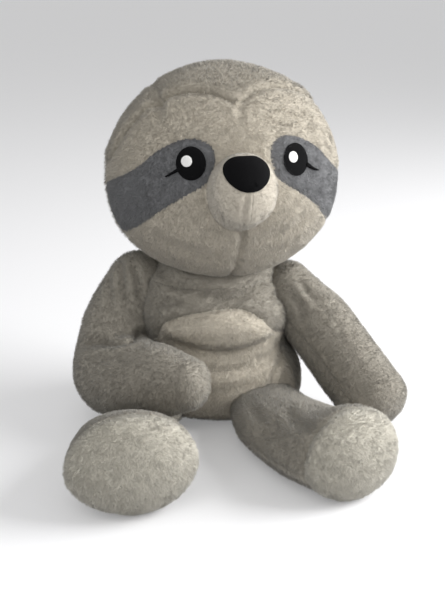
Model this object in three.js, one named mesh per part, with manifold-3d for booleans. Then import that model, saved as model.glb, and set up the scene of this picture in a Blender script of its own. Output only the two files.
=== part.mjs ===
// A seated plush sloth: sewn pile-cloth panels over stuffing, with cloth joints at neck, shoulders and hips.
// Millimetres, +Z up, the toy faces -Y. Its own left is +X. The origin is on the floor under the seat.

import * as THREE from 'three';
import { mergeVertices } from 'three/addons/utils/BufferGeometryUtils.js';
import Module from 'manifold-3d';

const wasm = await Module();
wasm.setup();

// Cloth and fits
const clothThickness = 3;
const seamGap = 0.3;
const stuffingGap = 0.9;
const socketGap = 0.9;
const sweepGap = 1.5;
const floorPress = 0.5;

// Head: an upright oval, a little fuller below, turned to the toy's left and tipped up
const headHalfWidth = 116;
const headHalfDepth = 97;
const headHalfHeight = 109;
const headHeight = 262;
const headForward = 15;
const headTurn = 12;
const headTip = 14;
const sideSeamForward = 6;
const crownHalfWidth = 66;

// Muzzle and nose
const muzzleHalfWidth = 37;
const muzzleHalfHeight = 40;
const muzzleReach = 47;
const muzzleDrop = 27;
const muzzleDrift = -2;
const noseHalfWidth = 22;
const noseHalfHeight = 18.5;
const noseThickness = 2.4;
const noseRise = 15;

// Eyes: black ovals with a white glint
const eyeSpacing = 97;
const eyeHalfWidth = 13;
const eyeHalfHeight = 15.5;
const eyeThickness = 1.4;
const glintRadius = 5;
const glintThickness = 0.8;
const glintOut = 4.5;
const glintUp = 3;

// Neck ball
const neckRadius = 45;
const neckHeight = 176;
const neckBack = 2;
const neckBandShare = 0.8;

// Torso: a slumped pear that leans to the toy's right
const torsoHeight = 147;
const torsoHalfWidth = 99;
const torsoHalfDepth = 76;
const torsoLean = -15;
const pelletBagHeight = 46;
const seatPanelHeight = 9;
const bellyHalfWidth = 66;
const bellyHeight = 134;
const torsoSeamBack = 8;

// Shoulders: places of the root balls, their radii and how far each arm reaches from there
const leftShoulder = { across: 64, back: 5, up: 124, radius: 30 };
const leftArm = { across: 90, forward: 74, drop: 90, girth: 37, tip: 27 };
const rightShoulder = { across: 87, back: 5, up: 135, radius: 33 };
const rightUpperArm = { across: 30, forward: 42, drop: 78, girth: 39, tip: 30 };
const rightForearm = { across: 84, forward: 76, rise: 22, girth: 44, tip: 18, lift: 24 };
const elbowStep = { across: 4, forward: 10, drop: 3 };

// Hips: each leg lies on the floor, so half its thickness is also its height there
const leftHip = { across: 48, forward: 60 };
const leftLeg = { across: 66, forward: 110, width: 52, thickness: 85, sole: 32, swing: 10 };
const rightHip = { across: 62, forward: 60 };
const rightLeg = { across: 13, forward: 148, width: 55, thickness: 89, sole: 34, swing: 10 };
const soleSeamIn = 5;

// Faceting
const headPoints = 20;
const torsoPoints = 18;
const limbPoints = 12;
const neckPoints = 20;
const shoulderPoints = 16;

// A block this large stands for a half space in every cut
const beyond = 4 * headHeight;

// Rows of [height, half width, half depth, forward] as shares of the head's or torso's own sizes
const headShares = [
  [-0.72, 0.73, 0.7, 0],
  [-0.5, 0.91, 0.88, 0],
  [-0.25, 0.985, 0.98, 0],
  [0, 1, 1, 0],
  [0.25, 0.955, 0.965, 0],
  [0.5, 0.85, 0.86, 0],
  [0.73, 0.66, 0.68, 0],
];
const torsoShares = [
  [0.012, 0.72, 0.7, 0],
  [0.11, 0.96, 0.94, 0],
  [0.24, 1, 0.99, 0],
  [0.42, 0.95, 1, 0],
  [0.6, 0.8, 0.93, 0.01],
  [0.76, 0.84, 0.98, 0.03],
  [0.9, 0.78, 0.84, 0.01],
];

// Rows of [across, forward, drop or rise, half width, half height] as shares of a limb's reach and girth
const leftArmShares = [
  [0, 0, 0, 0.8, 0.8],
  [0.4, 0.3, 0.36, 0.92, 0.9],
  [0.75, 0.65, 0.74, 0.98, 0.97],
  [1, 1, 1, 0.98, 1],
];
const upperArmShares = [
  [0, 0, 0, 0.83, 0.83],
  [0.6, 0.4, 0.42, 0.96, 0.96],
  [1, 1, 1, 0.98, 0.98],
];
const forearmShares = [
  [0, 0, 0, 0.97, 1],
  [0.38, 0.46, 0.36, 0.93, 0.98],
  [0.74, 0.8, 0.82, 0.75, 0.79],
  [1, 1, 1, 0.56, 0.62],
];
const leftLegShares = [
  [0, 0, 0.77, 0.635],
  [0.28, 0.37, 0.75, 0.62],
  [0.68, 0.73, 0.8, 0.66],
  [1, 1, 1, 1],
];
const rightLegShares = [
  [0, 0, 0.73, 0.62],
  [0.31, 0.34, 0.7, 0.48],
  [0.7, 0.7, 0.82, 0.7],
  [1, 1, 1, 1],
];

// Outlines on the face as shares of the head's half width and half height
const hairlineShares = [
  [1.02, 0.05], [0.93, 0.21], [0.81, 0.37], [0.64, 0.52], [0.42, 0.62], [0.24, 0.61], [0.1, 0.55],
];
const hairlinePeakShare = 0.49;
const patchShares = [
  [0.22, 0.09], [0.3, 0.185], [0.41, 0.215], [0.55, 0.18], [0.68, 0.11], [0.85, -0.02], [1.08, -0.15],
  [1.1, -0.42], [0.97, -0.56], [0.8, -0.5], [0.62, -0.36], [0.42, -0.24], [0.27, -0.14],
];
const faceRimShares = [[-1.4, -0.3], [-1.2, -1.5], [1.2, -1.5], [1.4, -0.3]];
const browShare = -0.125;
const noseShares = [
  [0, 0.86], [0.62, 0.98], [1, 0.45], [0.78, -0.25], [0.32, -0.9], [0, -1],
];

// The belly panel's outline as shares of its own half width and height
const bellyShares = [
  [0, 1], [0.6, 0.985], [0.98, 0.88], [1, 0.6], [1, -0.4], [-1, -0.4], [-1, 0.6], [-0.98, 0.88], [-0.6, 0.985],
];

// Where the right arm's seam plane faces
const rightSeamNormal = new THREE.Vector3(-0.62, -0.76, 0.2);

const colours = {
  cream: 0xcbc3b2, muzzle: 0xd3ccbc, grey: 0x98928a, crown: 0xb0a797, patch: 0x6d6e70,
  black: 0x17181a, white: 0xf2f0ea, fibre: 0xf4f2ee, pellets: 0xdad6cc,
};

function finish(colour, roughness = 0.95) {
  return new THREE.MeshStandardMaterial({ color: colour, roughness, metalness: 0 });
}

// Closed mesh to solid and back
function solid(geometry) {
  const bare = geometry.clone();
  bare.deleteAttribute('normal');
  bare.deleteAttribute('uv');
  const joined = mergeVertices(bare);
  return new wasm.Manifold(new wasm.Mesh({
    numProp: 3,
    vertProperties: new Float32Array(joined.attributes.position.array),
    triVerts: new Uint32Array(joined.index.array),
  }));
}

function geometryOf(shape) {
  const mesh = shape.getMesh();
  const geometry = new THREE.BufferGeometry();
  geometry.setAttribute('position', new THREE.BufferAttribute(new Float32Array(mesh.vertProperties), 3));
  geometry.setIndex(new THREE.BufferAttribute(new Uint32Array(mesh.triVerts), 1));
  geometry.computeVertexNormals();
  return geometry;
}

function addPiece(group, name, shape, material) {
  const mesh = new THREE.Mesh(geometryOf(shape), material);
  mesh.name = name;
  group.add(mesh);
}

// The side of a plane that its normal points to, set back by half a seam
function halfSpace(point, normal, setBack = seamGap / 2) {
  const block = new THREE.BoxGeometry(beyond, beyond, beyond);
  block.translate(0, 0, beyond / 2 + setBack);
  const turn = new THREE.Quaternion().setFromUnitVectors(new THREE.Vector3(0, 0, 1), normal.clone().normalize());
  block.applyQuaternion(turn);
  block.translate(point.x, point.y, point.z);
  return solid(block);
}

function ball(centre, radius, points = shoulderPoints) {
  const sphere = new THREE.SphereGeometry(radius, points, Math.ceil(0.6 * points));
  sphere.rotateX(Math.PI / 2);
  sphere.translate(centre.x, centre.y, centre.z);
  return solid(sphere);
}

// A stuffed form: oval rings on a smooth spine, with rounded ends, grown or shrunk along its normals.
// Each row is { at, side, rise }; upright is the direction in which a ring's rise is measured.
function stuffedForm(rows, { upright, rootDepth, tipDepth, points, steps, endRings }, growth) {
  const spine = new THREE.CatmullRomCurve3(rows.map((row) => row.at));
  const girth = new THREE.CatmullRomCurve3(rows.map((row) => new THREE.Vector3(row.side, row.rise, 0)));
  const rings = [];
  const addRing = (share, pushed, scale) => {
    const along = spine.getTangent(share);
    const rise = upright.clone().addScaledVector(along, -upright.dot(along)).normalize();
    const side = new THREE.Vector3().crossVectors(along, rise);
    const centre = spine.getPoint(share).addScaledVector(along, pushed);
    const size = girth.getPoint(share);
    const ring = [];
    for (let i = 0; i < points; i += 1) {
      const angle = (2 * Math.PI * i) / points;
      ring.push(centre.clone()
        .addScaledVector(side, scale * size.x * Math.cos(angle))
        .addScaledVector(rise, scale * size.y * Math.sin(angle)));
    }
    rings.push(ring);
  };
  for (let i = 1; i < endRings; i += 1) {
    const angle = (Math.PI / 2) * (i / endRings);
    addRing(0, -rootDepth * Math.cos(angle), Math.sin(angle));
  }
  for (let i = 0; i <= steps; i += 1) {
    addRing(i / steps, 0, 1);
  }
  for (let i = endRings - 1; i >= 1; i -= 1) {
    const angle = (Math.PI / 2) * (i / endRings);
    addRing(1, tipDepth * Math.cos(angle), Math.sin(angle));
  }
  const root = rows[0].at.clone().addScaledVector(spine.getTangent(0), -rootDepth);
  const tip = rows[rows.length - 1].at.clone().addScaledVector(spine.getTangent(1), tipDepth);
  const places = [root, ...rings.flat(), tip];
  const faces = [];
  const corner = (ring, i) => 1 + ring * points + (i % points);
  for (let i = 0; i < points; i += 1) {
    faces.push(0, corner(0, i), corner(0, i + 1));
    faces.push(places.length - 1, corner(rings.length - 1, i + 1), corner(rings.length - 1, i));
    for (let ring = 0; ring < rings.length - 1; ring += 1) {
      faces.push(corner(ring, i), corner(ring + 1, i + 1), corner(ring, i + 1));
      faces.push(corner(ring, i), corner(ring + 1, i), corner(ring + 1, i + 1));
    }
  }
  const geometry = new THREE.BufferGeometry().setFromPoints(places);
  geometry.setIndex(faces);
  geometry.computeVertexNormals();
  const position = geometry.attributes.position;
  const normal = geometry.attributes.normal;
  for (let i = 0; i < position.count; i += 1) {
    position.setXYZ(
      i,
      position.getX(i) + growth * normal.getX(i),
      position.getY(i) + growth * normal.getY(i),
      position.getZ(i) + growth * normal.getZ(i),
    );
  }
  return geometry;
}

// An outline in the XZ plane, drawn as a smooth closed curve and pushed through from front to back
function outlineBlock(outline, front, back, growth = 0) {
  const curve = new THREE.CatmullRomCurve3(outline.map(([x, z]) => new THREE.Vector3(x, z, 0)), true, 'centripetal');
  const count = Math.ceil(1.5 * outline.length);
  const points = [];
  for (let i = 0; i < count; i += 1) {
    const place = curve.getPoint(i / count);
    const along = curve.getTangent(i / count);
    points.push(new THREE.Vector2(place.x + growth * along.y, place.y - growth * along.x));
  }
  if (THREE.ShapeUtils.isClockWise(points)) {
    points.reverse();
  }
  const block = new THREE.ExtrudeGeometry(new THREE.Shape(points), { depth: back - front, bevelEnabled: false });
  block.rotateX(Math.PI / 2);
  block.translate(0, back, 0);
  return solid(block);
}

// Lists one side's outline anticlockwise, so that growth always points outward
function mirrored(outline, sign) {
  const list = outline.map(([x, z]) => [sign * x, z]);
  const area = list.reduce((sum, [x, z], i) => {
    const [nextX, nextZ] = list[(i + 1) % list.length];
    return sum + x * nextZ - nextX * z;
  }, 0);
  return area > 0 ? list : list.reverse();
}

function turned(geometry, pivot, axis, degrees) {
  const copy = geometry.clone();
  copy.translate(-pivot.x, -pivot.y, -pivot.z);
  copy.applyQuaternion(new THREE.Quaternion().setFromAxisAngle(axis, THREE.MathUtils.degToRad(degrees)));
  copy.translate(pivot.x, pivot.y, pivot.z);
  return copy;
}

// Places that several parts share
const up = new THREE.Vector3(0, 0, 1);
const front = new THREE.Vector3(0, -1, 0);
const neckPivot = new THREE.Vector3(0, neckBack, neckHeight);
const leftPivot = new THREE.Vector3(leftShoulder.across, leftShoulder.back, leftShoulder.up);
const rightPivot = new THREE.Vector3(-rightShoulder.across, rightShoulder.back, rightShoulder.up);
const rightLiftAxis = new THREE.Vector3(-1, 0, 0);
const leftHipPivot = new THREE.Vector3(leftHip.across, -leftHip.forward, 0);
const rightHipPivot = new THREE.Vector3(-rightHip.across, -rightHip.forward, 0);

// Torso
function torsoGeometry(growth) {
  const rows = torsoShares.map(([height, width, depth, forward]) => ({
    at: new THREE.Vector3(torsoLean * (1 - 0.5 * height), -forward * torsoHeight, height * torsoHeight),
    side: width * torsoHalfWidth,
    rise: depth * torsoHalfDepth,
  }));
  const bottom = torsoShares[0][0] * torsoHeight + floorPress;
  const top = torsoHeight - torsoShares[torsoShares.length - 1][0] * torsoHeight;
  return stuffedForm(rows, {
    upright: front, rootDepth: bottom, tipDepth: top, points: torsoPoints, steps: 6, endRings: 2,
  }, growth);
}

function torsoForm(inset) {
  return solid(torsoGeometry(-inset)).intersect(halfSpace(new THREE.Vector3(), up, inset));
}

// The room in the torso for the neck ball, the shoulder balls and the swing of both legs
function withoutSockets(shape, growth) {
  return shape
    .subtract(ball(neckPivot, neckRadius + growth, neckPoints))
    .subtract(ball(leftPivot, leftShoulder.radius + growth))
    .subtract(ball(rightPivot, rightShoulder.radius + growth))
    .subtract(leftLegRoom(growth))
    .subtract(rightLegRoom(growth));
}

// Legs
function legRows(leg, hip, side, shares) {
  return shares.map(([across, forward, width, height]) => {
    const rise = (height * leg.thickness) / 2;
    return {
      at: new THREE.Vector3(
        side * (hip.across + across * leg.across),
        -hip.forward - forward * leg.forward,
        rise - floorPress,
      ),
      side: width * leg.width,
      rise,
    };
  });
}

function legGeometry(leg, hip, side, shares, growth) {
  const rows = legRows(leg, hip, side, shares);
  return stuffedForm(rows, {
    upright: up, rootDepth: rows[0].side, tipDepth: leg.sole, points: limbPoints, steps: 5, endRings: 3,
  }, growth);
}

function leftLegGeometry(growth) {
  return legGeometry(leftLeg, leftHip, 1, leftLegShares, growth);
}

function rightLegGeometry(growth) {
  return legGeometry(rightLeg, rightHip, -1, rightLegShares, growth);
}

// The room that a leg needs from rest to the end of its swing
function legRoom(leg, hip, side, shares, pivot, growth) {
  const half = THREE.MathUtils.degToRad(leg.swing / 2);
  const rows = legRows(leg, hip, side, shares).map(({ at, side: width, rise }) => ({
    at, side: width + Math.tan(half) * Math.hypot(at.x - pivot.x, at.y - pivot.y), rise,
  }));
  const room = stuffedForm(rows, {
    upright: up, rootDepth: rows[0].side, tipDepth: leg.sole, points: limbPoints, steps: 5, endRings: 3,
  }, growth);
  return turned(room, pivot, up, (-side * leg.swing) / 2);
}

function leftLegRoom(growth) {
  return solid(legRoom(leftLeg, leftHip, 1, leftLegShares, leftHipPivot, growth));
}

function rightLegRoom(growth) {
  return solid(legRoom(rightLeg, rightHip, -1, rightLegShares, rightHipPivot, growth));
}

function legSolid(geometryAt, inset) {
  return solid(geometryAt(-inset)).intersect(halfSpace(new THREE.Vector3(), up, inset));
}

// Arms
function armRows(shoulder, arm, side, shares) {
  return shares.map(([across, forward, drop, width, height]) => ({
    at: new THREE.Vector3(
      shoulder.x + side * across * arm.across,
      shoulder.y - forward * arm.forward,
      shoulder.z - drop * arm.drop,
    ),
    side: width * arm.girth,
    rise: height * arm.girth,
  }));
}

function armForm(rows, tip, growth, steps = 4) {
  return stuffedForm(rows, {
    upright: front, rootDepth: rows[0].rise, tipDepth: tip, points: limbPoints, steps, endRings: 3,
  }, growth);
}

function leftArmSolid(inset) {
  const rows = armRows(leftPivot, leftArm, 1, leftArmShares);
  const form = solid(armForm(rows, leftArm.tip, -inset)).intersect(halfSpace(new THREE.Vector3(), up, inset));
  const body = solid(torsoGeometry(sweepGap + inset));
  const leg = leftLegRoom(sweepGap + inset);
  return form.subtract(body).subtract(leg).add(ball(leftPivot, leftShoulder.radius - inset));
}

function rightArmSolid(inset) {
  const upperRows = armRows(rightPivot, rightUpperArm, -1, upperArmShares);
  const elbow = new THREE.Vector3(
    rightPivot.x - rightUpperArm.across + elbowStep.across,
    rightPivot.y - rightUpperArm.forward - elbowStep.forward,
    rightPivot.z - rightUpperArm.drop - elbowStep.drop,
  );
  const reach = { ...rightForearm, drop: -rightForearm.rise };
  const lowerRows = armRows(elbow, reach, 1, forearmShares);
  const upper = solid(armForm(upperRows, rightUpperArm.tip, -inset, 3));
  const lower = solid(stuffedForm(lowerRows, {
    upright: up, rootDepth: lowerRows[0].side, tipDepth: rightForearm.tip, points: limbPoints, steps: 4, endRings: 3,
  }, -inset));
  const body = torsoGeometry(sweepGap + inset);
  const leg = legRoom(rightLeg, rightHip, -1, rightLegShares, rightHipPivot, sweepGap + inset);
  let form = upper.add(lower).intersect(halfSpace(new THREE.Vector3(), up, inset));
  for (const share of [0, 0.25, 0.5, 1]) {
    form = form.subtract(solid(turned(body, rightPivot, rightLiftAxis, -share * rightForearm.lift)));
  }
  for (const share of [0, 0.125, 0.25, 0.375, 0.5]) {
    form = form.subtract(solid(turned(leg, rightPivot, rightLiftAxis, -share * rightForearm.lift)));
  }
  return form.add(ball(rightPivot, rightShoulder.radius - inset));
}

// Head, in its own frame
const headGroup = new THREE.Group();
headGroup.position.set(0, -headForward, headHeight);
headGroup.rotation.set(
  THREE.MathUtils.degToRad(-headTip), 0, THREE.MathUtils.degToRad(headTurn), 'ZYX',
);
headGroup.updateMatrix();
const neckInHead = neckPivot.clone().applyMatrix4(headGroup.matrix.clone().invert());

function headGeometry(growth) {
  const rows = headShares.map(([height, width, depth, forward]) => ({
    at: new THREE.Vector3(0, -forward * headHalfDepth, height * headHalfHeight),
    side: width * headHalfWidth,
    rise: depth * headHalfDepth,
  }));
  const below = (1 + headShares[0][0]) * headHalfHeight;
  const above = (1 - headShares[headShares.length - 1][0]) * headHalfHeight;
  return stuffedForm(rows, {
    upright: front, rootDepth: below, tipDepth: above, points: headPoints, steps: 6, endRings: 3,
  }, growth);
}

function headForm(inset) {
  return solid(headGeometry(-inset));
}

function muzzleSolid(growth) {
  const start = -0.7 * headHalfDepth;
  const end = -headHalfDepth - 0.36 * muzzleReach;
  const rows = [
    { at: new THREE.Vector3(muzzleDrift, start, -muzzleDrop), side: muzzleHalfWidth, rise: muzzleHalfHeight },
    {
      at: new THREE.Vector3(muzzleDrift, end, 0.1 * muzzleHalfHeight - muzzleDrop),
      side: 0.95 * muzzleHalfWidth,
      rise: 0.93 * muzzleHalfHeight,
    },
  ];
  return solid(stuffedForm(rows, {
    upright: up, rootDepth: 0.2 * muzzleReach, tipDepth: 0.64 * muzzleReach, points: limbPoints, steps: 2, endRings: 3,
  }, growth));
}

const hairline = [
  ...hairlineShares.map(([x, z]) => [x * headHalfWidth, z * headHalfHeight]),
  [0, hairlinePeakShare * headHalfHeight],
  ...hairlineShares.map(([x, z]) => [-x * headHalfWidth, z * headHalfHeight]).reverse(),
];
const faceOutline = [
  ...hairline,
  ...faceRimShares.map(([x, z]) => [x * headHalfWidth, z * headHalfHeight]),
];

function patchOutline(side) {
  return mirrored(patchShares.map(([x, z]) => [x * headHalfWidth, z * headHalfHeight]), side);
}

function buildHead() {
  const far = -2 * headHalfDepth;
  const socket = ball(neckInHead, neckRadius + socketGap, neckPoints);
  const skin = headForm(0).subtract(headForm(clothThickness)).subtract(socket);
  const faceBlock = outlineBlock(faceOutline, far, -sideSeamForward);
  const faceKeepOut = outlineBlock(faceOutline, far, -sideSeamForward + seamGap, seamGap);
  const muzzleHole = muzzleSolid(seamGap);
  const face = skin.intersect(faceBlock).subtract(muzzleHole);
  const hood = skin.subtract(faceKeepOut);
  const patches = [1, -1].map((side) => outlineBlock(patchOutline(side), far, 0));
  const patchHoles = [1, -1].map((side) => outlineBlock(patchOutline(side), far, 0, seamGap));
  const plain = face.subtract(patchHoles[0]).subtract(patchHoles[1]);
  const browHeight = new THREE.Vector3(0, 0, browShare * headHalfHeight);
  const cream = finish(colours.cream);
  const crown = finish(colours.crown);
  const left = new THREE.Vector3(1, 0, 0);
  const right = new THREE.Vector3(-1, 0, 0);
  const coreSocket = ball(neckInHead, neckRadius + socketGap + seamGap, neckPoints);
  const core = headForm(clothThickness + stuffingGap).subtract(coreSocket);
  addPiece(headGroup, 'head_stuffing', core, finish(colours.fibre));
  addPiece(headGroup, 'forehead', plain.intersect(halfSpace(browHeight, up)), cream);
  const cheeks = plain.intersect(halfSpace(browHeight, new THREE.Vector3(0, 0, -1)));
  addPiece(headGroup, 'cheek_left', cheeks.intersect(halfSpace(new THREE.Vector3(), left)), cream);
  addPiece(headGroup, 'cheek_right', cheeks.intersect(halfSpace(new THREE.Vector3(), right)), cream);
  addPiece(headGroup, 'eye_patch_left', face.intersect(patches[0]), finish(colours.patch));
  addPiece(headGroup, 'eye_patch_right', face.intersect(patches[1]), finish(colours.patch));
  const crownEdge = new THREE.Vector3(crownHalfWidth, 0, 0);
  const crownStrip = halfSpace(crownEdge, right).intersect(halfSpace(crownEdge.clone().negate(), left));
  addPiece(headGroup, 'crown', hood.intersect(crownStrip), crown);
  addPiece(headGroup, 'head_side_left', hood.intersect(halfSpace(crownEdge, left)), crown);
  addPiece(headGroup, 'head_side_right', hood.intersect(halfSpace(crownEdge.clone().negate(), right)), crown);
}

function buildMuzzle() {
  const middle = new THREE.Vector3(muzzleDrift, 0, 0);
  const skin = muzzleSolid(0).subtract(muzzleSolid(-clothThickness)).subtract(headForm(clothThickness));
  const short = finish(colours.muzzle);
  addPiece(headGroup, 'muzzle_left', skin.intersect(halfSpace(middle, new THREE.Vector3(1, 0, 0))), short);
  addPiece(headGroup, 'muzzle_right', skin.intersect(halfSpace(middle, new THREE.Vector3(-1, 0, 0))), short);
  const stuffing = muzzleSolid(-clothThickness - stuffingGap).subtract(headForm(clothThickness));
  addPiece(headGroup, 'muzzle_stuffing', stuffing, finish(colours.fibre));
  const noseHeight = noseRise - muzzleDrop;
  const outline = [
    ...noseShares,
    ...noseShares.slice(1, -1).reverse().map(([x, z]) => [-x, z]),
  ].map(([x, z]) => [muzzleDrift + x * noseHalfWidth, noseHeight + z * noseHalfHeight]);
  const nose = muzzleSolid(seamGap + noseThickness).subtract(muzzleSolid(seamGap))
    .intersect(outlineBlock(outline, -2 * headHalfDepth, -headHalfDepth));
  addPiece(headGroup, 'nose', nose, finish(colours.black, 0.8));
}

function oval(across, height, halfWidth, halfHeight) {
  const points = [];
  const count = 8;
  for (let i = 0; i < count; i += 1) {
    const angle = (2 * Math.PI * i) / count;
    points.push([across + halfWidth * Math.cos(angle), height + halfHeight * Math.sin(angle)]);
  }
  return points;
}

// A flat applique that follows the head's surface, lifted above it
function onFace(outline, lift, thickness) {
  const layer = solid(headGeometry(lift + thickness)).subtract(solid(headGeometry(lift)));
  return layer.intersect(outlineBlock(outline, -2 * headHalfDepth, 0));
}

function buildEyes() {
  for (const [side, name] of [[1, 'left'], [-1, 'right']]) {
    const across = (side * eyeSpacing) / 2;
    const eye = onFace(oval(across, 0, eyeHalfWidth, eyeHalfHeight), seamGap, eyeThickness);
    addPiece(headGroup, `eye_${name}`, eye, finish(colours.black, 0.6));
    const glint = onFace(
      oval(across - glintOut, glintUp, glintRadius, glintRadius),
      2 * seamGap + eyeThickness,
      glintThickness,
    );
    addPiece(headGroup, `eye_glint_${name}`, glint, finish(colours.white, 0.7));
  }
}

// Body pieces, in the toy's frame
const toy = new THREE.Group();

function buildNeck() {
  const bandTop = neckPivot.clone().setZ(neckHeight + neckBandShare * neckRadius);
  const bandBottom = neckPivot.clone().setZ(neckHeight - neckBandShare * neckRadius);
  const shell = ball(neckPivot, neckRadius, neckPoints).subtract(
    ball(neckPivot, neckRadius - clothThickness, neckPoints),
  );
  const skin = shell.intersect(halfSpace(bandTop, up.clone().negate())).intersect(halfSpace(bandBottom, up));
  const grey = finish(colours.grey);
  addPiece(toy, 'neck_front', skin.intersect(halfSpace(neckPivot, front)), grey);
  addPiece(toy, 'neck_back', skin.intersect(halfSpace(neckPivot, front.clone().negate())), grey);
  const core = ball(neckPivot, neckRadius - clothThickness - stuffingGap, neckPoints);
  addPiece(toy, 'neck_stuffing', core, finish(colours.fibre));
}

function buildTorso() {
  const skin = withoutSockets(torsoForm(0).subtract(torsoForm(clothThickness)), socketGap);
  const grey = finish(colours.grey);
  const seatTop = new THREE.Vector3(0, 0, seatPanelHeight);
  const down = up.clone().negate();
  addPiece(toy, 'seat_panel', skin.intersect(halfSpace(seatTop, down)), grey);
  const walls = skin.intersect(halfSpace(seatTop, up));
  const seam = new THREE.Vector3(torsoLean, torsoSeamBack, 0);
  const frontWall = walls.intersect(halfSpace(seam, front));
  const backWall = walls.intersect(halfSpace(seam, front.clone().negate()));
  const belly = bellyShares.map(([x, z]) => [torsoLean / 2 + x * bellyHalfWidth, z * bellyHeight]);
  const far = -2 * torsoHalfDepth;
  const near = -torsoHalfDepth / 2;
  const anticlockwise = mirrored(belly, 1);
  addPiece(toy, 'belly', frontWall.intersect(outlineBlock(anticlockwise, far, near)), finish(colours.cream));
  addPiece(toy, 'chest', frontWall.subtract(outlineBlock(anticlockwise, far, near + seamGap, seamGap)), grey);
  const left = new THREE.Vector3(1, 0, 0);
  addPiece(toy, 'back_left', backWall.intersect(halfSpace(seam, left)), grey);
  addPiece(toy, 'back_right', backWall.intersect(halfSpace(seam, left.clone().negate())), grey);
  const core = withoutSockets(torsoForm(clothThickness + stuffingGap), socketGap + seamGap);
  const bagTop = new THREE.Vector3(0, 0, pelletBagHeight);
  addPiece(toy, 'pellet_bag', core.intersect(halfSpace(bagTop, down)), finish(colours.pellets));
  addPiece(toy, 'torso_stuffing', core.intersect(halfSpace(bagTop, up)), finish(colours.fibre));
}

function buildArms() {
  const grey = finish(colours.grey);
  const skinOf = (arm) => arm(0).subtract(arm(clothThickness));
  const leftSkin = skinOf(leftArmSolid);
  const leftSeam = new THREE.Vector3(-leftArm.forward, -leftArm.across, 0).cross(
    new THREE.Vector3(leftArm.across, -leftArm.forward, -leftArm.drop),
  );
  addPiece(toy, 'arm_left_outer', leftSkin.intersect(halfSpace(leftPivot, leftSeam)), grey);
  addPiece(toy, 'arm_left_inner', leftSkin.intersect(halfSpace(leftPivot, leftSeam.clone().negate())), grey);
  addPiece(toy, 'arm_left_stuffing', leftArmSolid(clothThickness + stuffingGap), finish(colours.fibre));
  const rightSkin = skinOf(rightArmSolid);
  addPiece(toy, 'arm_right_outer', rightSkin.intersect(halfSpace(rightPivot, rightSeamNormal)), grey);
  addPiece(toy, 'arm_right_inner', rightSkin.intersect(halfSpace(rightPivot, rightSeamNormal.clone().negate())), grey);
  addPiece(toy, 'arm_right_stuffing', rightArmSolid(clothThickness + stuffingGap), finish(colours.fibre));
}

function buildLeg(name, geometryAt, rows) {
  const grey = finish(colours.grey);
  const skin = legSolid(geometryAt, 0).subtract(legSolid(geometryAt, clothThickness));
  const last = rows[rows.length - 1];
  const along = last.at.clone().sub(rows[rows.length - 2].at).setZ(0).normalize();
  const seam = last.at.clone().addScaledVector(along, -soleSeamIn);
  const shank = skin.intersect(halfSpace(seam, along.clone().negate()));
  const middle = new THREE.Vector3(0, 0, rows[1].at.z);
  addPiece(toy, `${name}_sole`, skin.intersect(halfSpace(seam, along)), finish(colours.cream));
  addPiece(toy, `${name}_top`, shank.intersect(halfSpace(middle, up)), grey);
  addPiece(toy, `${name}_under`, shank.intersect(halfSpace(middle, up.clone().negate())), grey);
  addPiece(toy, `${name}_stuffing`, legSolid(geometryAt, clothThickness + stuffingGap), finish(colours.fibre));
}

buildHead();
buildMuzzle();
buildEyes();
buildNeck();
buildTorso();
buildArms();
buildLeg('leg_left', leftLegGeometry, legRows(leftLeg, leftHip, 1, leftLegShares));
buildLeg('leg_right', rightLegGeometry, legRows(rightLeg, rightHip, -1, rightLegShares));
toy.add(headGroup);

export default toy;
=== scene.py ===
"""A seated plush sloth in pile cloth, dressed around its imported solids. Metres, +Z up, facing -Y."""

import math

import bpy
import numpy as np
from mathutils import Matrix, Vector, kdtree
from mathutils.bvhtree import BVHTree


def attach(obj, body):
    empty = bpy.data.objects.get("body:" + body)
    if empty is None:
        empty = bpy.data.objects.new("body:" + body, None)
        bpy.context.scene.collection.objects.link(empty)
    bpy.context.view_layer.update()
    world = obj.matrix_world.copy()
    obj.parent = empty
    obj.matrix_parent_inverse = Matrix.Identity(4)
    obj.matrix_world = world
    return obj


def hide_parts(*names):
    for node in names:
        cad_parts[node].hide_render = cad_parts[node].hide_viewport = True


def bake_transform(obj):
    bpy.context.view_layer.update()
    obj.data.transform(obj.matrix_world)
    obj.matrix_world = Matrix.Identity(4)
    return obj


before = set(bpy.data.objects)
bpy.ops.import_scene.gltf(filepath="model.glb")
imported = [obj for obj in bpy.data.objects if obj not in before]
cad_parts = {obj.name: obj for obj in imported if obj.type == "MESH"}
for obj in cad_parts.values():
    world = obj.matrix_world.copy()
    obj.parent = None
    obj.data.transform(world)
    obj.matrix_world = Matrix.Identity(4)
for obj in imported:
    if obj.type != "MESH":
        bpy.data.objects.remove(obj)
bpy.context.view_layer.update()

MM = 0.001
CM2_PER_M2 = 10000
TINY = 1e-12
FRONT, BACK, UP = np.array((0.0, -1.0, 0.0)), np.array((0.0, 1.0, 0.0)), np.array((0.0, 0.0, 1.0))
rng = np.random.default_rng(41)
# Whole numbers that scatter a grid's corners and a seed over the levels of the noise
HASH_AXES = np.array((73856093, 19349663, 83492791))
HASH_SEED, HASH_MIX, HASH_MASK = 2654435761, 1274126177, 0x7FFFFFFF
NOISE_START, NOISE_LEVELS = 100, 65536

# Camera: the photograph's viewing angle
PHOTO_WIDTH, PHOTO_HEIGHT = 445, 596
FOCAL_PIXELS = 950
CAMERA_PITCH = math.radians(19)
CAMERA_AT = Vector((0, -0.945, 0.445))
FORWARD = Vector((0, math.cos(CAMERA_PITCH), -math.sin(CAMERA_PITCH)))
UPWARD = Vector((0, math.sin(CAMERA_PITCH), math.cos(CAMERA_PITCH)))
RIGHTWARD = Vector((1, 0, 0))
SENSOR = 36
CLIP_START = 0.05

# Floor: its glow is seen by the camera alone
FLOOR_SIZE = 240
FLOOR_COLOUR = (0.72, 0.72, 0.73)
FLOOR_GLOW = 0.2

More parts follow.
